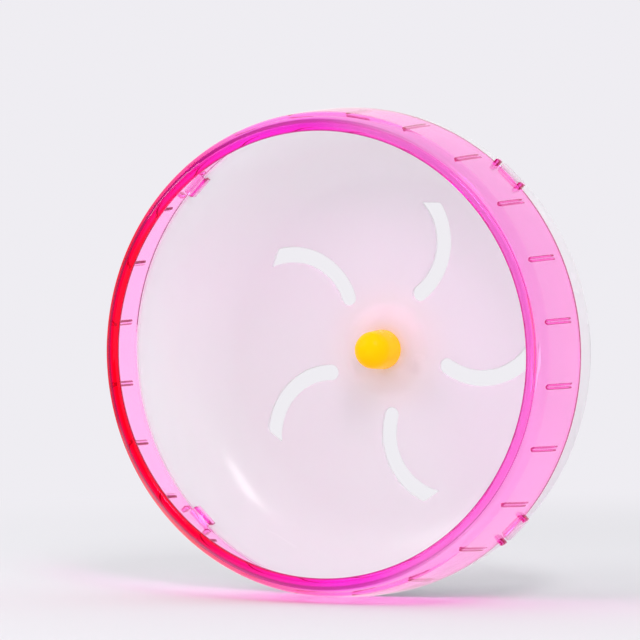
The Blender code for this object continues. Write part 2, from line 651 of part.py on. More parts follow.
def main():
    clear_scene()
    pink = material("clear_pink_plastic", (0.95, 0.18, 0.62), 0.06, transmission=0.7)
    milky = material("milky_plastic", (0.9, 0.86, 0.9), 0.3)
    yellow = material("yellow_plastic", (1.0, 0.62, 0.0), 0.25)
    white = material("white_plastic", (0.85, 0.85, 0.87), 0.4)
    steel = material("steel", (0.56, 0.57, 0.58), 0.25, metallic=1.0)
    shield_steel = material("shield_steel", (0.42, 0.43, 0.45), 0.4, metallic=1.0)
    brass = material("cage_brass", (0.72, 0.5, 0.2), 0.35, metallic=1.0)
    wheel = add_axis("wheel_axis")
    fixed = add_axis("fixed_axis")
    track_ring(pink, wheel)
    dish(milky, wheel)
    hub_cap(yellow, wheel)
    bearing("front", front_bearing_y, wheel, fixed, steel, brass, shield_steel)
    bearing("rear", rear_bearing_y, wheel, fixed, steel, brass, shield_steel)
    spacers(wheel, fixed, steel)
    hub_rear_cover(white, wheel)
    cover_screws(steel, wheel)
    axle(steel, fixed)
    front_washer(steel, fixed)
    lock_nut(steel, fixed)
    mounting_plate(white, fixed)
    axle_pin(steel, fixed)


main()
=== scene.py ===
from math import acos, atan2, cos, pi, radians, sin, sqrt, tau

import bmesh
import bpy
from mathutils import Matrix, Vector
from mathutils.geometry import delaunay_2d_cdt


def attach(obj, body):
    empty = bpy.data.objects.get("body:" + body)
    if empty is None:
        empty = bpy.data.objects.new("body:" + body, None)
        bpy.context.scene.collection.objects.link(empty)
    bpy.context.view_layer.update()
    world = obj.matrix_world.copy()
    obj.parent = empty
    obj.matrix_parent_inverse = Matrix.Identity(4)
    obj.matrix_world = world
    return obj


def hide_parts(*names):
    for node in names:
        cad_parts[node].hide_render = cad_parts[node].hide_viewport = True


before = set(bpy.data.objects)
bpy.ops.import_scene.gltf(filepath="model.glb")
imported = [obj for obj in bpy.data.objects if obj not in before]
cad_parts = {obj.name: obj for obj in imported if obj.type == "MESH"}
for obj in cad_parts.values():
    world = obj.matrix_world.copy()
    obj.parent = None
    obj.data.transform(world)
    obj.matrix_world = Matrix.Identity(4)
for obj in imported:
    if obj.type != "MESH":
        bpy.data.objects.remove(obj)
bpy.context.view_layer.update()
print("frame loaded:", len(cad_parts), "nodes")

# Metres. The wheel's axis is Y, its open front faces -Y, and y is 0 on the mounting plate's rear face.
seamY = -0.0669           # where the clear ring meets the milky dish
touchGap = 0.0003         # left between pieces that touch
overrun = 0.001           # how far a shape runs into what it joins, or past what it cuts
weldDistance = 2e-7       # points closer than this are one
sharpAngle = radians(35)  # edges steeper than this stay sharp
rodFacets = 32


# Mesh helpers

def circleAngles(count, first=0.0):
    return [first + tau * n / count for n in range(count)]


def onAxis(radius, y, angle):
    return Vector((radius * cos(angle), y, radius * sin(angle)))


def curvePoints(middle, size, first, last, steps):  # an arc in (radius, y) or (x, z)
    angles = [first + (last - first) * n / steps for n in range(steps + 1)]
    return [(middle[0] + size * cos(angle), middle[1] + size * sin(angle)) for angle in angles]


def roundCorners(outline, sizes, steps=4, closed=True):  # cuts each corner back by its size and rounds it
    rounded = []
    count = len(outline)
    for n, (corner, size) in enumerate(zip(outline, sizes)):
        if not size or (not closed and n in (0, count - 1)):
            rounded.append(tuple(corner))
            continue
        here, before, after = Vector(corner), Vector(outline[n - 1]), Vector(outline[(n + 1) % count])
        enter = here + (before - here).normalized() * size
        leave = here + (after - here).normalized() * size
        for k in range(steps + 1):
            t = k / steps
            rounded.append(tuple(enter.lerp(here, t).lerp(here.lerp(leave, t), t)))
    return rounded


def joinRows(shape, low, high):  # a strip of faces between two closed rows of points
    for n in range(len(low)):
        following = (n + 1) % len(low)
        corners = list(dict.fromkeys((low[n], low[following], high[following], high[n])))
        if len(corners) > 2:
            shape.faces.new(corners)


def addSpun(shape, outline, angles, closed=False):  # an outline of (radius, y), spun round the wheel's axis
    rows = []
    for radius, y in outline:
        if radius < weldDistance:
            rows.append([shape.verts.new((0, y, 0))] * len(angles))
        else:
            rows.append([shape.verts.new(onAxis(radius, y, angle)) for angle in angles])
    for low, high in zip(rows, rows[1:] + (rows[:1] if closed else [])):
        joinRows(shape, low, high)


def roundEdges(shape, edges, size):
    bmesh.ops.bevel(shape, geom=edges, offset=size, segments=2, profile=0.5, affect="EDGES")


def prism(outline, push, bevel=0.0):  # a flat outline of 3-D points, pushed along a vector
    shape = bmesh.new()
    face = shape.faces.new([shape.verts.new(point) for point in outline])
    pushed = bmesh.ops.extrude_face_region(shape, geom=[face])["geom"]
    moved = [item for item in pushed if isinstance(item, bmesh.types.BMVert)]
    bmesh.ops.translate(shape, verts=moved, vec=push)
    bmesh.ops.recalc_face_normals(shape, faces=shape.faces)
    if bevel:
        roundEdges(shape, [edge for edge in shape.edges if edge.calc_face_angle(0) > radians(30)], bevel)
    return shape


def sidePrism(outline, width, middle=0.0, bevel=0.0):  # (radius, y) outline, extruded across the wheel
    return prism([(r, y, middle - width / 2) for r, y in outline], (0, 0, width), bevel)


def axisRod(radius, start, end, bevel=0.0):  # a rod along Y
    shape = prism([onAxis(radius, start, angle) for angle in circleAngles(rodFacets)], (0, end - start, 0))
    if bevel:
        rims = [edge for edge in shape.edges
                if abs((edge.verts[0].co - edge.verts[1].co).y) < weldDistance]
        roundEdges(shape, rims, bevel)
    return shape


def plainMesh(name, shape):
    mesh = bpy.data.meshes.new(name)
    shape.to_mesh(mesh)
    shape.free()
    return mesh


def smoothed(mesh):
    mesh.shade_smooth()
    mesh.set_sharp_from_angle(angle=sharpAngle)
    return mesh


def asMesh(name, shape):
    bmesh.ops.recalc_face_normals(shape, faces=shape.faces)
    return smoothed(plainMesh(name, shape))


def spunMesh(name, outline, facets, closed=False):
    shape = bmesh.new()
    addSpun(shape, outline, circleAngles(facets), closed)
    bmesh.ops.remove_doubles(shape, verts=shape.verts, dist=weldDistance)
    return asMesh(name, shape)


def aroundAxis(name, makeShape, angles):  # copies of a shape, turned round the wheel's axis, in one mesh
    whole = bmesh.new()
    for angle in angles:
        shape = makeShape()
        shape.transform(Matrix.Rotation(-angle, 4, "Y"))
        spare = plainMesh(name, shape)
        whole.from_mesh(spare)
        bpy.data.meshes.remove(spare)
    return asMesh(name, whole)


def addObject(name, data):
    made = bpy.data.objects.new(name, data)
    bpy.context.scene.collection.objects.link(made)
    return made


def combined(name, base, added=(), cut=()):  # a mesh with others joined to it and cut from it
    piece = addObject(name, base)
    helpers = []
    for mesh, operation in [(mesh, "UNION") for mesh in added] + [(mesh, "DIFFERENCE") for mesh in cut]:
        helpers.append(addObject(mesh.name, mesh))
        change = piece.modifiers.new(mesh.name, "BOOLEAN")
        change.operation = operation
        change.solver = "EXACT"
        change.object = helpers[-1]
    bpy.context.view_layer.update()
    result = bpy.data.meshes.new_from_object(piece.evaluated_get(bpy.context.evaluated_depsgraph_get()))
    for spare in [piece] + helpers:
        bpy.data.objects.remove(spare, do_unlink=True)
    result.name = name
    result.materials.clear()
    return smoothed(result)


def addPiece(name, mesh, body, slotName, *nodes):  # a visible piece that stands for CAD nodes
    piece = addObject(name, mesh)
    mesh.materials.clear()
    mesh.materials.append(materials[slotName])
    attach(piece, body)
    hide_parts(*nodes)
    print("made", name, "with", len(mesh.polygons), "faces")


# Node helpers

def addNode(tree, kind, inputs=None, **settings):
    node = tree.nodes.new(kind)
    for name, value in settings.items():
        setattr(node, name, value)
    for socket, value in (inputs or {}).items():
        if isinstance(value, bpy.types.NodeSocket):
            tree.links.new(value, node.inputs[socket])
        else:
            node.inputs[socket].default_value = value
    return node


def mathNode(tree, operation, *values, clamp=False):
    return addNode(tree, "ShaderNodeMath", dict(enumerate(values)), operation=operation,
                   use_clamp=clamp).outputs[0]


def vectorNode(tree, operation, *values):
    outputs = addNode(tree, "ShaderNodeVectorMath", dict(enumerate(values)), operation=operation).outputs
    return outputs["Value" if operation in ("LENGTH", "DOT_PRODUCT") else "Vector"]


def rangeNode(tree, value, low, high, newLow=0.0, newHigh=1.0, smooth=False):
    kind = "SMOOTHSTEP" if smooth else "LINEAR"
    return addNode(tree, "ShaderNodeMapRange", {"Value": value, "From Min": low, "From Max": high,
                   "To Min": newLow, "To Max": newHigh}, interpolation_type=kind).outputs["Result"]


def blendColours(tree, factor, first, second):
    return addNode(tree, "ShaderNodeMix", {0: factor, 6: first, 7: second}, data_type="RGBA").outputs[2]


def blendNumbers(tree, factor, first, second):
    return addNode(tree, "ShaderNodeMix", {0: factor, 2: first, 3: second}).outputs[0]


def mixShaders(tree, factor, first, second):
    return addNode(tree, "ShaderNodeMixShader", {0: factor, 1: first.outputs[0],
                   2: second.outputs[0]}).outputs[0]


def noiseNode(tree, vector, scale, detail=3.0, roughness=0.5, distortion=0.0):
    return addNode(tree, "ShaderNodeTexNoise", {"Vector": vector, "Scale": scale, "Detail": detail,
                   "Roughness": roughness, "Distortion": distortion}).outputs["Fac"]


def bumpNode(tree, height, strength, distance):
    return addNode(tree, "ShaderNodeBump", {"Strength": strength, "Distance": distance,
                   "Height": height}).outputs["Normal"]


def objectPlace(tree):
    return addNode(tree, "ShaderNodeTexCoord").outputs["Object"]


def wheelPlace(tree):  # y, the way straight out from the wheel's axis, and the distance from it
    split = addNode(tree, "ShaderNodeSeparateXYZ", {0: objectPlace(tree)}).outputs
    out = addNode(tree, "ShaderNodeCombineXYZ", {"X": split["X"], "Z": split["Z"]}).outputs[0]
    return split["Y"], out, vectorNode(tree, "LENGTH", out)


def newGroup(name, inputs):  # a node group and what its inputs bring
    tree = bpy.data.node_groups.new(name, "ShaderNodeTree")
    for label, value in inputs.items():
        tree.interface.new_socket(label, in_out="INPUT", socket_type="NodeSocketFloat").default_value = value
    return tree, tree.nodes.new("NodeGroupInput").outputs


def finishGroup(tree, **outputs):
    for label in outputs:
        tree.interface.new_socket(label, in_out="OUTPUT", socket_type="NodeSocketFloat")
    addNode(tree, "NodeGroupOutput", outputs)
    return tree


def useGroup(tree, group, values):
    return addNode(tree, "ShaderNodeGroup", values, node_tree=group).outputs


def newMaterial(name):
    made = bpy.data.materials.new(name)
    made.use_nodes = True
    made.node_tree.nodes.clear()
    return made, made.node_tree


def finishMaterial(made, **outputs):
    addNode(made.node_tree, "ShaderNodeOutputMaterial", outputs)
    return made


# Effects that several materials share

def makeMouldGrain():  # the fine texture that a mould leaves, and slow changes of tone
    tree, given = newGroup("mouldGrain", {"Fineness": 1800.0, "Patch Size": 40.0})
    place = objectPlace(tree)
    fine = noiseNode(tree, place, given["Fineness"], 4.0, 0.6)
    slow = noiseNode(tree, place, given["Patch Size"], 2.0, 0.5)
    return finishGroup(tree, Height=fine, Patches=rangeNode(tree, slow, 0.3, 0.7, smooth=True))


def makeHandlingMarks():  # faint smears and hairlines from use
    tree, given = newGroup("handlingMarks", {"Smear Size": 30.0, "Hairlines": 1.0})
    place = objectPlace(tree)
    smear = noiseNode(tree, place, given["Smear Size"], 4.0, 0.62, 0.8)
    stretched = addNode(tree, "ShaderNodeMapping", {"Vector": place, "Rotation": (0.4, 0.9, 0.2),
                        "Scale": (2600.0, 60.0, 900.0)}).outputs["Vector"]
    thin = rangeNode(tree, noiseNode(tree, stretched, 1.0, 2.0, 0.4), 0.68, 0.74)
    patch = rangeNode(tree, noiseNode(tree, place, 24.0, 1.0), 0.5, 0.66, smooth=True)
    lines = mathNode(tree, "MULTIPLY", mathNode(tree, "MULTIPLY", thin, patch), given["Hairlines"])
    return finishGroup(tree, Smears=rangeNode(tree, smear, 0.52, 0.72, smooth=True), Lines=lines)


def makeTurningMarks():  # rings left by a lathe, centred on the wheel's axis
    tree, given = newGroup("turningMarks", {"Rings per Metre": 9000.0})
    y, _, radius = wheelPlace(tree)
    along = mathNode(tree, "ADD", radius, mathNode(tree, "MULTIPLY", y, 0.7))
    turns = mathNode(tree, "MULTIPLY", along, given["Rings per Metre"])
    rings = addNode(tree, "ShaderNodeTexNoise", {"W": turns, "Scale": 1.0, "Detail": 3.0},
                    noise_dimensions="1D").outputs["Fac"]
    slow = noiseNode(tree, objectPlace(tree), 420.0, 3.0, 0.6)
    return finishGroup(tree, Rings=rings, Glints=rangeNode(tree, slow, 0.35, 0.75))


def makeEdgeWear():  # 1 along outward edges, 0 elsewhere
    tree, given = newGroup("edgeWear", {"Sharpness": 0.52})
    pointed = addNode(tree, "ShaderNodeNewGeometry").outputs["Pointiness"]
    raised = mathNode(tree, "SUBTRACT", pointed, given["Sharpness"])
    spots = noiseNode(tree, objectPlace(tree), 900.0, 3.0)
    sharp = mathNode(tree, "MULTIPLY", raised, 14.0, clamp=True)
    return finishGroup(tree, Edges=mathNode(tree, "MULTIPLY", sharp, spots, clamp=True))


mouldGrain = makeMouldGrain()
handlingMarks = makeHandlingMarks()
turningMarks = makeTurningMarks()
edgeWear = makeEdgeWear()
print("shared effects made")


# Clear pink plastic

pinkPlastic = {
    "refraction": 1.5,
    "surfaceTint": (1.0, 0.985, 0.995, 1),
    "polish": (0.015, 0.07),  # roughness, clean to smeared
    "hairlineDepth": 0.12,
    "grain": {"Fineness": 60.0, "Patch Size": 18.0},
    "waviness": (0.02, 0.002),  # strength and depth
    "marks": {"Smear Size": 22.0, "Hairlines": 0.5},
    "absorbColour": (0.9945, 0.0137, 0.83, 1),  # what is left after a long way through
    "absorbDensity": 365.0,
    "paintedGlowColour": (1.0, 0.012, 0.33, 1),  # painted glow in the dye's colour, though the plastic is no lamp
    "paintedGlow": 0.07,
    "mirrorTint": (1.0, 0.2, 0.65, 1),
    "lampTint": (1.0, 0.95, 0.985, 1),  # per face, for lamp light that passes
    "rimReach": (0.0988, 0.0994),  # the rolled rim lies inside this radius
    "shoulderReach": (-0.0918, -0.0944),  # and the rounded shoulder lies in front of this depth
    "sideColour": (1.0, 0.2, 1.0, 1),  # painted light: the magenta the rim gathers above and below
    "sideDirection": (0.993, 0.0, 0.12),
    "sideRange": (0.45, 0.05),
    "farColour": (1.0, 0.001, 0.062, 1),  # painted light: the red the rim gathers on the side turned from the lamps, in its colour and its glow
    "farDirection": (-0.978, 0.0, -0.208),
    "farRange": (0.12, 0.76),
    "flankColour": (0.36, 0.008, 0.08, 1),  # painted shade on the sides and front ends of ribs, and the sides of pegs
    "flankRange": (0.2, 0.42),  # how far a face looks sideways
    "ribTip": -0.0962,
    "tipRange": (0.0009, 0.0007),  # distance from the ribs' tips
    "tiltRange": (0.92, 0.82),  # how straight a face there looks out
    "edgeColour": (0.28, 0.0, 0.16, 1),  # painted dark edge where the rim turns away from view
    "edgeRange": (0.14, 0.5),
}


def rimMasks(tree, look):  # masks for painted light and shade: where the rim gathers light, and the flanks of ribs and pegs
    y, out, radius = wheelPlace(tree)
    outward = vectorNode(tree, "NORMALIZE", out)
    around = vectorNode(tree, "CROSS_PRODUCT", outward, (0, 1, 0))
    normal = addNode(tree, "ShaderNodeTexCoord").outputs["Normal"]
    sideways, straight = [mathNode(tree, "ABSOLUTE", vectorNode(tree, "DOT_PRODUCT", direction, normal))
                          for direction in (around, outward)]
    fromTip = mathNode(tree, "ABSOLUTE", mathNode(tree, "SUBTRACT", y, look["ribTip"]))
    tips = mathNode(tree, "MULTIPLY", rangeNode(tree, straight, *look["tiltRange"], smooth=True),
                    rangeNode(tree, fromTip, *look["tipRange"]))
    flanks = mathNode(tree, "MAXIMUM", rangeNode(tree, sideways, *look["flankRange"], smooth=True), tips)
    place = addNode(tree, "ShaderNodeNewGeometry").outputs["Position"]  # in the room, where the light stays
    sideShare, farShare = [mathNode(tree, "DIVIDE", vectorNode(tree, "DOT_PRODUCT", place, look[way]), radius)
                           for way in ("sideDirection", "farDirection")]
    rim = rangeNode(tree, radius, *look["rimReach"], 1.0, 0.0)
    shoulder = rangeNode(tree, y, *look["shoulderReach"])
    side = mathNode(tree, "MULTIPLY", rim, rangeNode(tree, sideShare, *look["sideRange"], smooth=True))
    far = mathNode(tree, "MULTIPLY", shoulder, rangeNode(tree, farShare, *look["farRange"]))
    return rim, side, far, flanks


def makePinkPlastic(look):
    made, tree = newMaterial("clearPinkPlastic")
    marks = useGroup(tree, handlingMarks, look["marks"])
    grain = useGroup(tree, mouldGrain, look["grain"])
    rough = rangeNode(tree, marks["Smears"], 0, 1, *look["polish"])
    hairlines = mathNode(tree, "MULTIPLY", marks["Lines"], look["hairlineDepth"])
    rim, side, far, flanks = rimMasks(tree, look)
    facing = addNode(tree, "ShaderNodeLayerWeight").outputs["Facing"]
    edge = mathNode(tree, "MULTIPLY", rangeNode(tree, facing, *look["edgeRange"], smooth=True), rim)
    # the base colour gets painted shade on flanks and turned-away edges, and painted light on the rim
    colour = look["surfaceTint"]
    for mask, name in ((flanks, "flank"), (side, "side"), (far, "far"), (edge, "edge")):
        colour = blendColours(tree, mask, colour, look[name + "Colour"])
    # the emission is a painted glow, which turns red on the side away from the lamps
    shader = addNode(tree, "ShaderNodeBsdfPrincipled", {
        "Base Color": colour, "Roughness": mathNode(tree, "ADD", rough, hairlines),
        "IOR": look["refraction"], "Transmission Weight": 1.0,
        "Normal": bumpNode(tree, grain["Height"], *look["waviness"]), "Specular Tint": look["mirrorTint"],
        "Emission Color": blendColours(tree, far, look["paintedGlowColour"], look["farColour"]),
        "Emission Strength": look["paintedGlow"]})
    passing = addNode(tree, "ShaderNodeBsdfTransparent", {"Color": look["lampTint"]})
    shadowRay = addNode(tree, "ShaderNodeLightPath").outputs["Is Shadow Ray"]
    absorbing = addNode(tree, "ShaderNodeVolumeAbsorption", {"Color": look["absorbColour"],
                        "Density": look["absorbDensity"]})
    return finishMaterial(made, Surface=mixShaders(tree, shadowRay, shader, passing),
                          Volume=absorbing.outputs[0])


# Milky, yellow and white plastic

milkyPlastic = {
    "colour": (0.92, 0.945, 0.945, 1),
    "patchColour": (0.915, 0.925, 0.935, 1),
    "throughColour": (0.93, 0.96, 0.965, 1),
    "through": 0.5,  # share of the light that passes instead of coming back
    "paintedCapGlow": (0.16, 0.072, 0.0, 1),  # painted glow round the yellow cap, standing in for its light soaked into the dish
    "capReach": (0.034, 0.009),  # how far it spreads
    "capSide": (-0.0252, -0.0262),  # on the dish's front only
    "gloss": (0.2, 0.3),
    "grain": {"Fineness": 2200.0, "Patch Size": 16.0},
    "grainDepth": 0.05,
    "marks": {"Smear Size": 16.0, "Hairlines": 0.6},
}
yellowPlastic = {
    "colour": (1.0, 0.525, 0.0, 1),
    "patchColour": (1.0, 0.51, 0.0, 1),
    "edgeColour": (1.0, 0.74, 0.03, 1),
    "shine": 0.06,
    "paintedGlow": 0.34,  # painted glow in the plastic's own colour, standing in for light that soaks in and comes back out
    "gloss": (0.24, 0.34),
    "grain": {"Fineness": 1500.0, "Patch Size": 90.0},
    "grainDepth": 0.06,
    "marks": {"Smear Size": 60.0, "Hairlines": 1.0},
}
whitePlastic = {
    "colour": (0.82, 0.82, 0.85, 1),
    "patchColour": (0.78, 0.78, 0.82, 1),
    "edgeColour": (0.9, 0.9, 0.91, 1),
    "shine": 0.5,
    "paintedGlow": 0.0,
    "gloss": (0.34, 0.5),
    "grain": {"Fineness": 2600.0, "Patch Size": 60.0},
    "grainDepth": 0.22,
    "marks": {"Smear Size": 60.0, "Hairlines": 1.0},
}
mouldedPlastic = {"refraction": 1.5, "grainHeight": 0.0002, "wearFrom": 0.53, "wear": 0.5}


def mouldedSurface(tree, look):
    grain = useGroup(tree, mouldGrain, look["grain"])
    marks = useGroup(tree, handlingMarks, look["marks"])
    return {"Base Color": blendColours(tree, grain["Patches"], look["colour"], look["patchColour"]),
            "Roughness": rangeNode(tree, marks["Smears"], 0, 1, *look["gloss"]),
            "IOR": mouldedPlastic["refraction"],
            "Normal": bumpNode(tree, grain["Height"], look["grainDepth"], mouldedPlastic["grainHeight"])}


def makeMilkyPlastic(look):
    made, tree = newMaterial("milkyPlastic")
    y, _, radius = wheelPlace(tree)
    # painted glow round the cap, on the dish's front only
    near = mathNode(tree, "MULTIPLY", rangeNode(tree, radius, *look["capReach"], smooth=True),
                    rangeNode(tree, y, *look["capSide"]))
    shader = addNode(tree, "ShaderNodeBsdfPrincipled", {
        **mouldedSurface(tree, look), "Emission Strength": 1.0,
        "Emission Color": blendColours(tree, near, (0, 0, 0, 1), look["paintedCapGlow"])})
    passing = addNode(tree, "ShaderNodeBsdfTranslucent", {"Color": look["throughColour"]})
    return finishMaterial(made, Surface=mixShaders(tree, look["through"], shader, passing))


def makePaintedPlastic(name, look):  # an opaque moulded plastic
    made, tree = newMaterial(name)
    surface = mouldedSurface(tree, look)
    wear = useGroup(tree, edgeWear, {"Sharpness": mouldedPlastic["wearFrom"]})
    share = mathNode(tree, "MULTIPLY", wear["Edges"], mouldedPlastic["wear"])
    worn = blendColours(tree, share, surface["Base Color"], look["edgeColour"])
    # the emission is a painted glow in the plastic's own colour
    shader = addNode(tree, "ShaderNodeBsdfPrincipled", {
        **surface, "Base Color": worn, "Specular IOR Level": look["shine"], "Emission Color": worn,
        "Emission Strength": look["paintedGlow"]})
    return finishMaterial(made, Surface=shader.outputs[0])


# Turned and ground metal

metals = {
    "plated_steel": {
        "colour": (0.62, 0.62, 0.6, 1), "darkColour": (0.5, 0.5, 0.49, 1), "polish": (0.22, 0.4),
        "edgeColour": (0.75, 0.75, 0.74, 1), "rings": 7000.0, "grooveDepth": 0.2},
    "bearing_steel": {
        "colour": (0.6, 0.6, 0.61, 1), "darkColour": (0.52, 0.52, 0.54, 1), "polish": (0.1, 0.2),
        "edgeColour": (0.74, 0.74, 0.75, 1), "rings": 16000.0, "grooveDepth": 0.08},
    "shield_steel": {
        "colour": (0.5, 0.5, 0.51, 1), "darkColour": (0.42, 0.42, 0.43, 1), "polish": (0.26, 0.42),
        "edgeColour": (0.68, 0.68, 0.69, 1), "rings": 12000.0, "grooveDepth": 0.2},
    "cage_brass": {
        "colour": (0.75, 0.52, 0.22, 1), "darkColour": (0.62, 0.41, 0.16, 1), "polish": (0.24, 0.4),
        "edgeColour": (0.85, 0.64, 0.34, 1), "rings": 9000.0, "grooveDepth": 0.15},
}
turnedMetal = {"wearFrom": 0.52, "ringRange": (0.3, 0.7), "grooveHeight": 0.0001}


def makeMetal(name, look):
    made, tree = newMaterial(name)
    turned = useGroup(tree, turningMarks, {"Rings per Metre": look["rings"]})
    wear = useGroup(tree, edgeWear, {"Sharpness": turnedMetal["wearFrom"]})
    tone = blendColours(tree, turned["Glints"], look["colour"], look["darkColour"])
    shader = addNode(tree, "ShaderNodeBsdfPrincipled", {
        "Base Color": blendColours(tree, wear["Edges"], tone, look["edgeColour"]), "Metallic": 1.0,
        "Roughness": rangeNode(tree, turned["Rings"], *turnedMetal["ringRange"], *look["polish"]),
        "Normal": bumpNode(tree, turned["Rings"], look["grooveDepth"], turnedMetal["grooveHeight"])})
    return finishMaterial(made, Surface=shader.outputs[0])


materials = {
    "clear_pink_plastic": makePinkPlastic(pinkPlastic),
    "milky_plastic": makeMilkyPlastic(milkyPlastic),
    "yellow_plastic": makePaintedPlastic("yellowPlastic", yellowPlastic),
    "white_plastic": makePaintedPlastic("whitePlastic", whitePlastic),
    **{name: makeMetal(name + "Look", look) for name, look in metals.items()},
}
print("materials made")


# Camera, as the photograph sees the wheel

cameraView = {
    "lens": 183.2,  # mm, as the frame is
    "frame": 36,
    "picture": 640,  # pixels
    "aim": Vector((0.0, -0.067, 0.0)),  # a point on the wheel's axis
    "aimPixel": (350.365, 352.057),  # where it lies in the picture
    "distance": 1.4,
    "turn": radians(24.381),  # to the wheel's right, from straight ahead
    "height": radians(1.244),  # above level
    "roll": radians(-0.779),
    "farLimit": 50,
}


def addCamera():
    view = cameraView
    turn, height, roll = view["turn"], view["height"], view["roll"]
    ahead = Vector((-sin(turn) * cos(height), cos(turn) * cos(height), -sin(height)))
    level = Vector((cos(turn), sin(turn), 0))
    upright = level.cross(ahead)
    right = cos(roll) * level + sin(roll) * upright
    up = cos(roll) * upright - sin(roll) * level
    focal = view["lens"] / view["frame"] * view["picture"]
    across, down = [(pixel - view["picture"] / 2) / focal * view["distance"] for pixel in view["aimPixel"]]
    place = view["aim"] - ahead * view["distance"] - right * across + up * down
    data = bpy.data.cameras.new("camera")
    data.lens = view["lens"]
    data.sensor_width = view["frame"]
    data.sensor_fit = "HORIZONTAL"
    data.clip_end = view["farLimit"]
    camera = addObject("camera", data)
    camera.matrix_world = Matrix.Translation(place) @ Matrix((right, up, -ahead)).transposed().to_4x4()
    bpy.context.scene.camera = camera


addCamera()


# Clear pink ring

ringSize = {
    "seamRadius": 0.105,
    "depth": 0.0374,
    "wall": 0.0015,
    "wallCurve": 1.3,
    "rearRows": (-0.0682, -0.0695, -0.071, -0.0716, -0.0721, -0.0726, -0.0731, -0.0736, -0.0742),
    "shoulderStep": 0.0026,  # from the seam's radius in to the shoulder's
    "shoulderDepth": 0.0083,  # from the lip's front to the shoulder's end
    "shoulderArc": 0.0079,
    "innerArc": 0.0075,  # the shoulder's inside, which starts a little further back
    "innerLead": 0.0011,
    "innerTurn": radians(48),
    "neckHandle": 0.0009,  # how far the neck runs on straight before it bends into the lip
    "lipStart": radians(70),
    "lipRadius": 0.0961,
    "lipRound": 0.0021,
    "ribCount": 24,
    "ribHalfWidth": 0.00074,
    "ribSide": 0.0005,
    "ribHeight": 0.0008,
    "ribFront": -0.0962,
    "ribRear": -0.0728,
    "ribFade": 0.0018,
    "ribRadius": 0.1013,  # where the columns of points beside a rib are set out
    "ribColumns": (0.0, 0.00024, 0.00038, 0.0005, 0.00062, 0.00074, 0.00086, 0.00098, 0.0011, 0.00124,
                   0.0017),
    "tongueWidth": 0.0106,
    "tongueFace": 0.10236,  # axis to a tongue's flat outer face
    "tongueThickness": 0.0009,
    "tongueReach": 0.0044,
    "tongueRoots": (0.002, 0.0024, 0.003),
    "tongueSink": 0.0004,
    "tongueEdge": 0.00012,
    "hookLength": 0.0022,
    "hookHeight": 0.0009,
    "pegWidth": 0.002,
    "pegHeight": 0.0022,
    "pegLength": 0.0045,
    "pegMiddle": 0.0071,  # across the wheel, either side of the catch's finger
    "pegSetBack": 0.0004,
    "pegEdge": 0.00045,
}
ringFront = seamY - ringSize["depth"]
shoulderEnd = ringFront + ringSize["shoulderDepth"]
shoulderLean = atan2(ringSize["shoulderStep"] * ringSize["wallCurve"], seamY - shoulderEnd)
clipAngles = circleAngles(4, pi / 4)
ribAngles = circleAngles(ringSize["ribCount"], pi / ringSize["ribCount"])


def ringWall(inset, y):
    share = (y - shoulderEnd) / (seamY - shoulderEnd)
    bend = max(0.0, 1 - share) ** ringSize["wallCurve"]
    return ringSize["seamRadius"] - inset - ringSize["shoulderStep"] * bend


def arcMiddle(inset, y, arc):  # of an arc that carries on from the wall
    return ringWall(inset, y) - arc * cos(shoulderLean), y + arc * sin(shoulderLean)


def ringSection():  # the wall's section, from the seam along the inside to the lip and back along the outside
    size = ringSize
    wall, outerArc, innerArc, lip = size["wall"], size["shoulderArc"], size["innerArc"], size["lipRound"]
    turn, lipStart, handle = size["innerTurn"], size["lipStart"], size["neckHandle"]
    lipMiddle = (size["lipRadius"], ringFront + lip)
    outerMiddle = arcMiddle(0, shoulderEnd, outerArc)
    apart = Vector(lipMiddle) - Vector(outerMiddle)
    tangent = atan2(apart.y, apart.x) + acos((outerArc - lip) / apart.length)
    innerEnd = shoulderEnd + size["innerLead"]
    rows = [seamY, *size["rearRows"]]
    rows += [rows[-1] + (innerEnd - rows[-1]) * n / 9 for n in range(1, 9)]
    inside = [(ringWall(wall, y), y) for y in rows]
    inside += curvePoints(arcMiddle(wall, innerEnd, innerArc), innerArc, -shoulderLean, -turn, 26)
    lipArc = curvePoints(lipMiddle, lip, lipStart, tau + tangent, 26)
    first, last = Vector(inside[-1]), Vector(lipArc[0])
    firstHandle = first - Vector((sin(turn), cos(turn))) * handle
    lastHandle = last + Vector((sin(lipStart), -cos(lipStart))) * handle
    neck = []
    for t in [n / 6 for n in range(1, 6)]:
        a, b, c = first.lerp(firstHandle, t), firstHandle.lerp(lastHandle, t), lastHandle.lerp(last, t)
        neck.append(tuple(a.lerp(b, t).lerp(b.lerp(c, t), t)))
    shoulder = curvePoints(outerMiddle, outerArc, tangent, -shoulderLean, 20)
    outerRows = [shoulderEnd + (seamY - shoulderEnd) * n / 10 for n in range(1, 11)]
    outside = [(ringWall(0, y), y) for y in outerRows]
    return inside, neck + lipArc + shoulder + outside


def smoothStep(share):
    share = min(1.0, max(0.0, share))
    return share * share * (3 - 2 * share)


def ribStand(along, y):  # how far a rib stands off the wall at this distance from its middle line
    size = ringSize
    away = sqrt(along ** 2 + min(0.0, y - size["ribFront"] - size["ribHalfWidth"]) ** 2)
    rise = smoothStep((size["ribHalfWidth"] + size["ribSide"] - away) / (2 * size["ribSide"]))
    return size["ribHeight"] * rise * smoothStep((size["ribRear"] - y) / size["ribFade"])


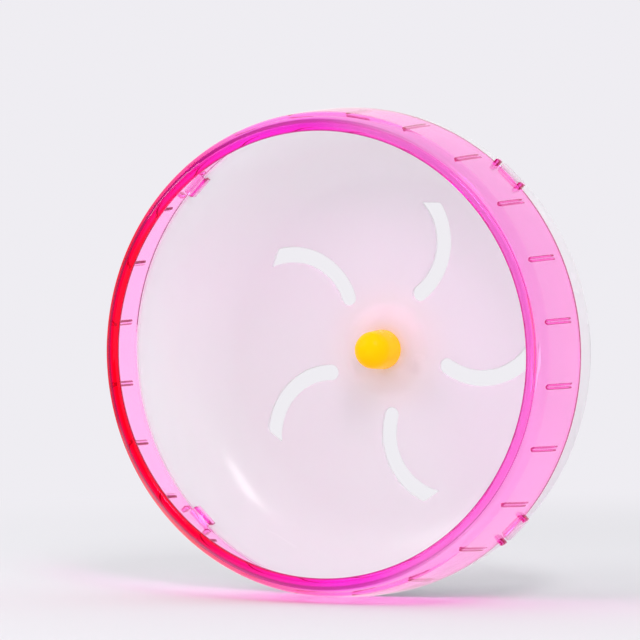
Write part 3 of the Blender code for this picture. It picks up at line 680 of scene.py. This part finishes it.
def makeRing():
    size = ringSize
    inside, rest = ringSection()
    near = sorted({side * place / size["ribRadius"] for place in size["ribColumns"] for side in (-1, 1)})
    gap = tau / size["ribCount"] + near[0] - near[-1]
    between = [near[-1] + gap * n / 8 for n in range(1, 8)]
    shape = bmesh.new()
    columns = []
    for rib in ribAngles:
        for turn in near + between:
            along = min(turn, turn - tau / size["ribCount"], key=abs) * size["ribRadius"]
            points = [(radius - ribStand(along, y), y) for radius, y in inside] + rest
            columns.append([shape.verts.new(onAxis(radius, y, rib + turn)) for radius, y in points])
    for column, following in zip(columns, columns[1:] + columns[:1]):
        for n in range(len(column)):
            onward = (n + 1) % len(column)
            shape.faces.new((column[n], following[n], following[onward], column[onward]))
    base = asMesh("ringWall", shape)
    for root in size["tongueRoots"]:  # a join that loses the wall is tried again with longer roots
        joined = combined("clear_ring", base, [
            aroundAxis("tongues", lambda: makeTongue(root), clipAngles),
            aroundAxis("leftPegs", lambda: makePeg(-1), clipAngles),
            aroundAxis("rightPegs", lambda: makePeg(1), clipAngles)])
        print("ring joined with", len(joined.polygons), "faces, tongue roots", root)
        if len(joined.polygons) > 0.9 * len(base.polygons):
            break
    return joined


def makeTongue(rootReach):  # reaches under the dish's rim and ends in a hook
    size = ringSize
    wall = size["seamRadius"] - size["wall"]
    root, stop, tip = seamY - rootReach, seamY - touchGap, seamY + size["tongueReach"]
    hook = tip - size["hookLength"]
    outer = size["tongueFace"]
    inner = outer - size["tongueThickness"]
    return sidePrism([(wall + size["tongueSink"], root), (wall + overrun, root), (wall + overrun, stop),
                      (outer, stop), (outer, hook), (outer + size["hookHeight"], hook), (outer, tip),
                      (inner, tip), (inner, seamY)], size["tongueWidth"], bevel=size["tongueEdge"])


def makePeg(side):
    size = ringSize
    rear = seamY - size["pegSetBack"]
    front = rear - size["pegLength"]
    low, high = size["seamRadius"] - overrun, size["seamRadius"] + size["pegHeight"]
    return sidePrism([(low, front), (high, front), (high, rear), (low, rear)], size["pegWidth"],
                     side * size["pegMiddle"], bevel=size["pegEdge"])


addPiece("clear_ring", makeRing(), "wheel", "clear_pink_plastic", "track_ring")


# Milky dish

dishSize = {
    "radius": 0.1046,
    "wall": 0.002,
    "corner": 0.035,
    "back": -0.0247,  # its flat back
    "rim": seamY + 0.0001,
    "edge": 0.0003,
    "slotCount": 5,
    "slotWidth": 0.0068,
    "slotInner": (0.0292, radians(57)),  # radius and direction of a slot's middle line, inner end
    "slotOuter": (0.0664, radians(69.5)),
    "slotBulge": 0.0074,
    "slotSkew": radians(11),
    "slotCorner": 0.0012,
    "slotEdge": 0.00045,  # rounding of a slot's edges
    "flatReach": 0.0735,  # the slots lie inside this radius
    "bossRise": 0.0045,
    "bossFoot": 0.022,
    "bossTop": 0.0104,
    "bossHole": 0.0074,
    "recess": (0.021, 0.0145, 0.0032),  # outer and floor radius and depth of the hollow behind the boss
    "recessEdges": (0.0006, 0.0008),
    "housing": 0.01225,
    "housingRear": -0.0133,
    "seat": 0.00965,
    "seatFloor": -0.0292,
    "pillar": (0.0142, 0.0029),  # pitch radius and radius of the screw pillars
    "screwHole": 0.0013,
    "screwHoleEnd": -0.0195,
    "fingerWidth": 0.0116,
    "fingerFront": seamY - 0.0004,
    "fingerThickness": 0.0014,
    "fingerFoot": 0.0036,  # how far the finger runs on behind the seam
    "fingerEdge": 0.00035,
}
dishInside = dishSize["back"] - dishSize["wall"]
bossFront = dishInside - dishSize["bossRise"]
screwPitch = dishSize["pillar"][0]
screwAngles = circleAngles(3, pi / 2)
outerColumns = circleAngles(240)
innerColumns = circleAngles(120)


def dishFace(radius, wall):  # y of the dish's back (wall 0) or of its inside at a radius
    middle = dishSize["radius"] - dishSize["corner"]
    depth = dishSize["corner"] - wall
    drop = depth - sqrt(max(0.0, depth ** 2 - max(0.0, radius - middle) ** 2))
    return dishSize["back"] - wall - drop


def slotOutline(grow, turn):  # a slot's outline of (x, z), moved outward by grow
    size = dishSize
    start, end = [Vector((radius * cos(angle), radius * sin(angle)))
                  for radius, angle in (size["slotInner"], size["slotOuter"])]
    chord = end - start
    bulge = size["slotBulge"]
    radius = (chord.length_squared / 4 + bulge ** 2) / (2 * bulge)
    middle = (start + end) / 2 + Vector((-chord.y, chord.x)).normalized() * (radius - bulge)
    first, last = [atan2(point.y - middle.y, point.x - middle.x) for point in (start, end)]
    half = size["slotWidth"] / 2 + grow
    large, small = radius + half, radius - half
    corner = size["slotCorner"] + grow * 0.6  # the rounding grows less than the outline
    largeEnd = last + grow / radius
    smallEnd = last + size["slotSkew"] + grow / radius * 1.6
    stop = corner * 1.1  # the long sides end just short of the rounded corners
    convex = curvePoints(middle, large, first, largeEnd - stop / large, 30)
    concave = curvePoints(middle, small, smallEnd - stop / small, first, 30)
    corners = [(middle.x + reach * cos(angle), middle.y + reach * sin(angle))
               for reach, angle in ((large, largeEnd), (small, smallEnd))]
    innerEnd = curvePoints(start, half, first + pi, first + tau, 14)[1:-2]
    sizes = [0] * len(convex) + [corner, corner] + [0] * len(concave + innerEnd)
    rounded = roundCorners(convex + corners + concave + innerEnd, sizes, 5)
    return [(x * cos(turn) - z * sin(turn), x * sin(turn) + z * cos(turn)) for x, z in rounded]


def inLoop(point, loop):
    inside = False
    for (ax, az), (bx, bz) in zip(loop, loop[1:] + loop[:1]):
        if (az > point.y) != (bz > point.y) and point.x < (bx - ax) * (point.y - az) / (bz - az) + ax:
            inside = not inside
    return inside


def addFlat(shape, outerRadius, innerRadius, wall, slots):  # a flat face with holes for the slots
    places, edges = [], []
    holes = [[(innerRadius * cos(a), innerRadius * sin(a)) for a in innerColumns]] + slots
    for loop in [[(outerRadius * cos(a), outerRadius * sin(a)) for a in outerColumns]] + holes:
        start = len(places)
        places += [Vector(point) for point in loop]
        edges += [(start + n, start + (n + 1) % len(loop)) for n in range(len(loop))]
    points, _, faces, _, _, _ = delaunay_2d_cdt(places, edges, [], 1, 1e-9)
    verts = [shape.verts.new((p.x, dishFace(p.length, wall), p.y)) for p in points]
    for face in faces:
        centre = sum((points[n] for n in face), Vector((0, 0))) / len(face)
        if centre.length < outerRadius and not any(inLoop(centre, hole) for hole in holes):
            shape.faces.new([verts[n] for n in face])


def addSlotWall(shape, turn):  # one slot's rounded edges and its wall through the dish
    edge, wall = dishSize["slotEdge"], dishSize["wall"]
    rows = [(edge * 2, 0.0, wall)]
    for angle in [pi / 8 * n for n in range(5)]:
        rows.append((edge * (1 - sin(angle)), edge * (1 - cos(angle)), wall))
    rows += [(grow, -depth, 0.0) for grow, depth, _ in rows[::-1]]
    loops = [[shape.verts.new((x, dishFace(sqrt(x * x + z * z), side) + depth, z))
              for x, z in slotOutline(grow, turn)] for grow, depth, side in rows]
    for low, high in zip(loops, loops[1:]):
        joinRows(shape, low, high)


def rodsAround(name, radius, start, end, pitch, bevel=0.0):  # a rod along Y at each of the screws' angles
    def makeRod():
        shape = axisRod(radius, start, end, bevel)
        shape.transform(Matrix.Translation((pitch, 0, 0)))
        return shape
    return aroundAxis(name, makeRod, screwAngles)


def makeDish():
    size = dishSize
    wall, radius, reach, edge = size["wall"], size["radius"], size["flatReach"], size["edge"]
    outerSize, innerSize = size["corner"], size["corner"] - wall
    middle = (radius - outerSize, size["back"] - outerSize)
    shape = bmesh.new()
    outside = curvePoints(middle, outerSize, acos((reach - middle[0]) / outerSize), 0, 18)
    inside = curvePoints(middle, innerSize, 0, acos((reach - middle[0]) / innerSize), 18)
    rim = roundCorners([outside[-1], (radius, size["rim"]), (radius - wall, size["rim"]), inside[0]],
                       [0, edge, edge, 0], 3, closed=False)
    addSpun(shape, outside[:-1] + rim + inside[1:], outerColumns)
    turns = circleAngles(size["slotCount"])
    recessOuter, recessFloor, recessDepth = size["recess"]
    for side, innerRadius in ((0.0, recessOuter), (wall, size["bossFoot"])):
        addFlat(shape, reach, innerRadius, side, [slotOutline(size["slotEdge"] * 2, turn) for turn in turns])
    for turn in turns:
        addSlotWall(shape, turn)
    slope = [(size["bossTop"] + (size["bossFoot"] - size["bossTop"]) * share,
              bossFront + size["bossRise"] * (1 - cos(pi * share)) / 2)
             for share in [1 - n / 12 for n in range(13)]]
    floorY = size["back"] - recessDepth
    hub = slope + [(size["bossHole"], bossFront), (size["bossHole"], size["seatFloor"]),
                   (size["seat"], size["seatFloor"]), (size["seat"], size["housingRear"]),
                   (size["housing"], size["housingRear"]), (size["housing"], floorY),
                   (recessFloor, floorY), (recessOuter, size["back"])]
    sizes = [0] * len(slope) + [edge, 0, 0, edge, edge, *size["recessEdges"], 0]
    addSpun(shape, roundCorners(hub, sizes, 3, closed=False), innerColumns)
    bmesh.ops.remove_doubles(shape, verts=shape.verts, dist=weldDistance)
    rear = size["housingRear"]
    pillars = rodsAround("pillars", size["pillar"][1], floorY - touchGap, rear, screwPitch)
    catches = aroundAxis("catches", makeCatch, clipAngles)
    hookPockets = aroundAxis("hookPockets", makeHookPocket, clipAngles)
    screwHoles = rodsAround("screwHoles", size["screwHole"], size["screwHoleEnd"], rear + overrun, screwPitch)
    return combined("milky_dish", asMesh("dishWall", shape), [pillars, catches], [hookPockets, screwHoles])


def makeCatch():  # the dish's finger over the ring, between two pegs
    size = dishSize
    under = ringSize["seamRadius"] + touchGap
    top = under + size["fingerThickness"]
    foot = size["radius"] - size["wall"] + overrun
    rear = seamY + size["fingerFoot"]
    front, rim = size["fingerFront"], size["rim"]
    return sidePrism([(under, front), (top, front), (top, rear), (foot, rear), (foot, rim), (under, rim)],
                     size["fingerWidth"], bevel=size["fingerEdge"])


def makeHookPocket():
    rear = seamY + ringSize["tongueReach"] + touchGap
    front = rear - ringSize["hookLength"] - 2 * touchGap
    low = dishSize["radius"] - dishSize["wall"] - overrun
    high = ringSize["tongueFace"] + ringSize["hookHeight"] + touchGap
    return sidePrism([(low, front), (high, front), (high, rear), (low, rear)],
                     ringSize["tongueWidth"] + 2 * touchGap)


addPiece("milky_dish", makeDish(), "wheel", "milky_plastic", "dish")


# Yellow cap

capSize = {
    "base": -0.0315,
    "baseRadius": 0.0088,
    "baseEdge": 0.0009,
    "radius": 0.0082,
    "skirt": 0.0106,
    "wall": 0.002,
    "spigotRadius": 0.00725,
    "spigotLength": 0.0016,
    "spigotWall": 0.0009,
    "spigotEdge": 0.0003,
}


def makeCap():
    size = capSize
    dome = (0, size["base"] - size["skirt"])
    outside = curvePoints(dome, size["radius"], -pi / 2, 0, 24)
    inside = curvePoints(dome, size["radius"] - size["wall"], 0, -pi / 2, 12)
    outside[0], inside[-1] = (0.0, outside[0][1]), (0.0, inside[-1][1])
    spigotEnd = size["base"] + size["spigotLength"]
    foot = [(size["baseRadius"], size["base"]), (size["spigotRadius"], size["base"]),
            (size["spigotRadius"], spigotEnd), (size["spigotRadius"] - size["spigotWall"], spigotEnd)]
    sizes = [0] * len(outside) + [size["baseEdge"], 0, size["spigotEdge"], 0] + [0] * len(inside)
    return spunMesh("yellow_cap", roundCorners(outside + foot + inside, sizes, 3, closed=False), 96)


addPiece("yellow_cap", makeCap(), "wheel", "yellow_plastic", "hub_cap")


# Hub cover and screws, behind the dish

coverSize = {"hole": 0.0052, "radius": 0.0176, "front": -0.013, "thickness": 0.0018, "edge": 0.0004,
             "grooveStart": 0.0018, "grooveBed": 0.0022, "grooveDepth": 0.0003, "grooveEdge": 0.0002,
             "screwHole": 0.00145}
screwSize = {"radius": 0.00115, "head": 0.0024, "headHeight": 0.0015, "headRound": 0.0009, "length": 0.0078,
             "seat": -0.0109, "point": 0.0005, "shank": 0.0009, "ridges": 15, "pitch": 0.0004,
             "threadDepth": 0.00022, "slotReach": 0.0013, "slotHalf": 0.0003, "slotDepth": 0.0008,
             "slotTurn": 0.5}


def makeCover():
    size = coverSize
    front, rear = size["front"], size["front"] + size["thickness"]
    hole, radius, start, bed = size["hole"], size["radius"], size["grooveStart"], size["grooveBed"]
    grooveY = rear - size["grooveDepth"]
    outline = [(hole, front), (radius, front), (radius, rear), (radius - start, rear),
               (radius - bed, grooveY), (hole + bed, grooveY), (hole + start, rear), (hole, rear)]
    sizes = [0, size["edge"], size["edge"]] + [size["grooveEdge"]] * 4 + [size["edge"]]
    holes = rodsAround("coverHoles", size["screwHole"], front - overrun, rear + overrun, screwPitch)
    disc = spunMesh("coverDisc", roundCorners(outline, sizes, 3), 96, closed=True)
    return combined("hub_cover", disc, cut=[holes])


def makeScrew(angle):
    size = screwSize
    radius, seat, head, bend = size["radius"], size["seat"], size["head"], size["headRound"]
    rear = seat + size["headHeight"]
    thread = []  # its ridges, turned as rings
    for y in [seat - size["shank"] - n * size["pitch"] for n in range(size["ridges"])]:
        thread += [(radius, y), (radius - size["threadDepth"], y - size["pitch"] / 2)]
    outline = [(0.0, seat - size["length"]), (size["point"], seat - size["length"])] + thread[::-1]
    outline += [(radius, seat), (head, seat), (head, rear - bend)]
    outline += curvePoints((head - bend, rear - bend), bend, 0, pi / 2, 6)[1:] + [(0.0, rear)]
    reach, half, bed = size["slotReach"], size["slotHalf"], rear - size["slotDepth"]
    cross = [(x * cos(quarter) - z * sin(quarter), bed, x * sin(quarter) + z * cos(quarter))
             for quarter in circleAngles(4) for x, z in ((reach, -half), (reach, half), (half, half))]
    recess = asMesh("screwRecess", prism(cross, (0, size["slotDepth"] + overrun, 0)))
    mesh = combined("cover_screw", spunMesh("screwBody", outline, 36), cut=[recess])
    mesh.transform(Matrix.Translation((screwPitch * cos(angle), 0, screwPitch * sin(angle)))
                   @ Matrix.Rotation(-size["slotTurn"] - angle, 4, "Y"))
    return mesh


addPiece("hub_cover", makeCover(), "wheel", "white_plastic", "hub_rear_cover")
for number, angle in enumerate(screwAngles, 1):
    addPiece(f"screw_{number}", makeScrew(angle), "wheel", "plated_steel", f"cover_screw_{number}")


# Axle, pin and mounting plate, which stay still

axleSize = {"radius": 0.00285, "tip": -0.0375, "tipEdge": 0.0005, "edge": 0.0002, "collar": 0.0044,
            "collarFront": -0.013, "collarRear": -0.0108, "rear": -0.0021, "pinHole": 0.00115, "pinY": -0.007,
            "pin": 0.001, "pinReach": 0.0062, "pinEdge": 0.0002}
plateSize = {"radius": 0.015, "thickness": 0.0035, "edge": 0.0008, "socket": 0.0065, "socketFront": -0.0105,
             "socketEdges": (0.0007, 0.0004, 0.0002), "bore": 0.003, "floor": -0.0018,
             "pilotPitch": 0.0107, "pilot": 0.0013, "pilotDepth": 0.006, "pilotBoss": 0.003,
             "pilotFront": -0.0075, "pilotEdge": 0.0003}


def crossRod(name, radius, reach, bevel=0.0):  # a rod along X through the axle, at the pin
    shape = axisRod(radius, -reach, reach, bevel)
    shape.transform(Matrix.Translation((0, axleSize["pinY"], 0)) @ Matrix.Rotation(-pi / 2, 4, "Z"))
    return asMesh(name, shape)


def makeAxle():
    size = axleSize
    radius, collar, edge = size["radius"], size["collar"], size["edge"]
    outline = [(0.0, size["tip"]), (radius, size["tip"]), (radius, size["collarFront"]),
               (collar, size["collarFront"]), (collar, size["collarRear"]), (radius, size["collarRear"]),
               (radius, size["rear"]), (0.0, size["rear"])]
    body = roundCorners(outline, [0, size["tipEdge"], 0, edge, edge, 0, edge, 0], 3, closed=False)
    return combined("axle_stud", spunMesh("axleBody", body, 72),
                    cut=[crossRod("axlePinHole", size["pinHole"], collar)])


def makePlate():
    size = plateSize
    radius, socket, bore = size["radius"], size["socket"], size["bore"]
    front, pitch = -size["thickness"], size["pilotPitch"]
    outline = [(0.0, 0.0), (radius, 0.0), (radius, front), (socket, front), (socket, size["socketFront"]),
               (bore, size["socketFront"]), (bore, size["floor"]), (0.0, size["floor"])]
    disc = roundCorners(outline, [0, size["edge"], size["edge"], *size["socketEdges"], 0, 0], 4, closed=False)
    bosses = rodsAround("pilotBosses", size["pilotBoss"], size["pilotFront"], front + overrun, pitch,
                        size["pilotEdge"])
    holes = rodsAround("pilotHoles", size["pilot"], -size["pilotDepth"], overrun, pitch)
    across = crossRod("socketPinHole", axleSize["pinHole"], socket + overrun)
    return combined("mounting_disc", spunMesh("plateDisc", disc, 120), [bosses], [holes, across])


addPiece("axle_stud", makeAxle(), "mount", "plated_steel", "axle")
addPiece("cross_pin", crossRod("cross_pin", axleSize["pin"], axleSize["pinReach"], axleSize["pinEdge"]),
         "mount", "plated_steel", "axle_pin")
addPiece("mounting_disc", makePlate(), "mount", "white_plastic", "mounting_plate")


# Bearings, spacers, washer and nut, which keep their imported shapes

finishes = {"shield": "shield_steel", "cage": "cage_brass", "race": "bearing_steel", "ball": "bearing_steel"}


def dressNodes():
    for name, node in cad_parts.items():
        if node.hide_render:
            continue
        finish = next((kind for word, kind in finishes.items() if word in name), "plated_steel")
        for place in node.material_slots:
            place.material = materials[finish]


dressNodes()
print("bearings and fixings dressed")


# Studio: a pale floor, a pale backdrop and soft lamps

studio = {
    "backdrop": (0.862, 0.847, 0.888, 1),
    "floorColour": (0.72, 0.715, 0.745, 1),
    "surroundLight": 0.86,  # how strongly the surroundings light the wheel
    "darkSide": 0.12,  # what polished surfaces mirror where the room is dark
    "darkFront": (-0.85, -0.35),  # which is towards the camera,
    "darkLeft": (-0.8, -0.55),  # to the left
    "darkFloor": (-0.3, -0.12),  # and on the left of the floor
    "floorRadius": 9.0,
    "floorFade": (0.2, 0.55),  # where the lit floor gives way to the plain backdrop
    "floorThrough": 0.6,  # and how far it does so where it shows through the plastic
    "lampTarget": Vector((0, -0.06, 0)),
}
lamps = {
    "leftLamp": {"from": (-54, 37), "distance": 1.3, "size": (0.55, 0.55), "radiance": 3.0},
    "sideLamp": {"from": (-88, 30), "distance": 1.3, "size": (0.35, 0.35), "radiance": 5.5},
    "frontLamp": {"from": (38, 46), "distance": 1.3, "size": (0.22, 0.46), "radiance": 14.0},
}


def rayKinds(tree):  # masks for what the camera sees, what plastic shows, and what only mirrors show
    path = addNode(tree, "ShaderNodeLightPath").outputs
    glossy, passing = path["Is Glossy Ray"], path["Is Transmission Ray"]
    return (path["Is Camera Ray"], mathNode(tree, "MAXIMUM", glossy, passing),
            mathNode(tree, "SUBTRACT", glossy, passing, clamp=True))


def darkenedFrom(tree, value, reach):
    return rangeNode(tree, value, *reach, studio["darkSide"], 1.0, smooth=True)


def addWorld():
    world = bpy.data.worlds.new("surroundings")
    bpy.context.scene.world = world
    world.use_nodes = True
    tree = world.node_tree
    tree.nodes.clear()
    seen, through, mirrored = rayKinds(tree)
    place = addNode(tree, "ShaderNodeTexCoord").outputs["Generated"]
    direction = addNode(tree, "ShaderNodeSeparateXYZ", {0: place}).outputs
    leftward = blendNumbers(tree, mirrored, 1.0, darkenedFrom(tree, direction["X"], studio["darkLeft"]))
    polished = mathNode(tree, "MULTIPLY", darkenedFrom(tree, direction["Y"], studio["darkFront"]), leftward)
    light = addNode(tree, "ShaderNodeBackground", {
        "Color": (1, 1, 1, 1), "Strength": blendNumbers(tree, through, studio["surroundLight"], polished)})
    shown = addNode(tree, "ShaderNodeBackground", {"Color": studio["backdrop"], "Strength": 1.0})
    addNode(tree, "ShaderNodeOutputWorld", {"Surface": mixShaders(tree, seen, light, shown)})


def makePaleFloor():
    made, tree = newMaterial("paleFloor")
    seen, through, mirrored = rayKinds(tree)
    place = objectPlace(tree)
    fade = rangeNode(tree, vectorNode(tree, "LENGTH", place), *studio["floorFade"], smooth=True)
    far = mathNode(tree, "MAXIMUM", fade, mathNode(tree, "MULTIPLY", through, studio["floorThrough"]))
    spot = addNode(tree, "ShaderNodeSeparateXYZ", {0: place}).outputs
    leftward = blendNumbers(tree, mirrored, 1.0, darkenedFrom(tree, spot["X"], studio["darkFloor"]))
    shining = rangeNode(tree, mathNode(tree, "MAXIMUM", seen, through), 0, 1, studio["surroundLight"], 1.0)
    lit = addNode(tree, "ShaderNodeBsdfDiffuse", {"Color": studio["floorColour"]})
    plain = addNode(tree, "ShaderNodeEmission", {
        "Color": blendColours(tree, seen, (1, 1, 1, 1), studio["backdrop"]),
        "Strength": mathNode(tree, "MULTIPLY", shining, leftward)})
    return finishMaterial(made, Surface=mixShaders(tree, far, lit, plain))


def addFloor():
    shape = bmesh.new()
    bmesh.ops.create_circle(shape, cap_ends=True, radius=studio["floorRadius"], segments=96)
    floor = addObject("floor", plainMesh("floor", shape))
    floor.location.z = -ringSize["seamRadius"]
    floor.data.materials.append(makePaleFloor())


def addLamps():
    for name, values in lamps.items():
        turn, height = [radians(angle) for angle in values["from"]]
        direction = Vector((sin(turn) * cos(height), -cos(turn) * cos(height), sin(height)))
        data = bpy.data.lights.new(name, "AREA")
        data.shape = "RECTANGLE"
        data.size, data.size_y = values["size"]
        data.energy = values["radiance"] * pi * data.size * data.size_y
        lamp = addObject(name, data)
        lamp.location = studio["lampTarget"] + direction * values["distance"]
        lamp.rotation_euler = direction.to_track_quat("Z", "Y").to_euler()
        lamp.visible_camera = False


addWorld()
addFloor()
addLamps()
bpy.context.scene.view_settings.view_transform = "Standard"
print("studio set")
